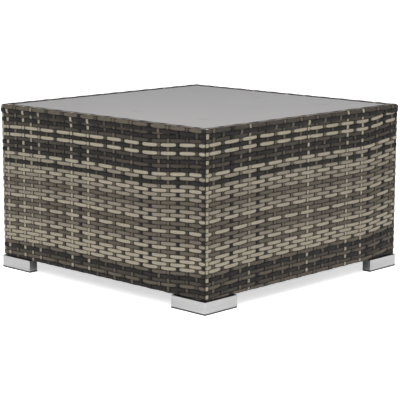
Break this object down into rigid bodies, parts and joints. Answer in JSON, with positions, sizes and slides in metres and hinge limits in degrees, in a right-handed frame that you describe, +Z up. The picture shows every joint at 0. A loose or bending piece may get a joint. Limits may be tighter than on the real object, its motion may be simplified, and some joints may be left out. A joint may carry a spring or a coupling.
{
  "type": "coffee table",
  "caption": "Low square garden coffee table: woven strand skin over a welded tube frame, loose glass top set in the rim, L-shaped corner feet.",
  "frame": {"origin": "on the floor under the centre of the table", "axes": "+Z up, the front face looks along -Y, the glass bearers run along Y"},
  "size_m": [0.604, 0.604, 0.354],
  "materials": {
    "weave": "satin, finely ribbed",
    "frame": "fine powder coat",
    "glass": "satin, polished arris",
    "bumper": "soft matte",
    "foot_core": "fine grain",
    "foot_trim": "brushed, anodised",
    "screw": "zinc plated"
  },
  "bodies": {
    "table": {"top_rail_front": "frame", "bottom_rail_front": "frame", "side_upright_front": "frame", "woven_side_front": "weave", "top_rail_right": "frame", "bottom_rail_right": "frame", "side_upright_right": "frame", "woven_side_right": "weave", "top_rail_back": "frame", "bottom_rail_back": "frame", "side_upright_back": "frame", "woven_side_back": "weave", "top_rail_left": "frame", "bottom_rail_left": "frame", "side_upright_left": "frame", "woven_side_left": "weave", "corner_post_front_left": "frame", "foot_core_front_left": "foot_core", "foot_trim_front_left": "foot_trim", "foot_screws_front_left": "screw", "corner_post_front_right": "frame", "foot_core_front_right": "foot_core", "foot_trim_front_right": "foot_trim", "foot_screws_front_right": "screw", "corner_post_back_right": "frame", "foot_core_back_right": "foot_core", "foot_trim_back_right": "foot_trim", "foot_screws_back_right": "screw", "corner_post_back_left": "frame", "foot_core_back_left": "foot_core", "foot_trim_back_left": "foot_trim", "foot_screws_back_left": "screw", "glass_bearer_left": "frame", "glass_bumpers_left": "bumper", "glass_bearer_right": "frame", "glass_bumpers_right": "bumper"},
    "glass": {"glass_top": "glass"}
  },
  "joints": [
    {"name": "glass_lift", "type": "slide", "parent": "table", "child": "glass", "axis": [0, 0, 1], "range_m": [0, 0.06]}
  ]
}
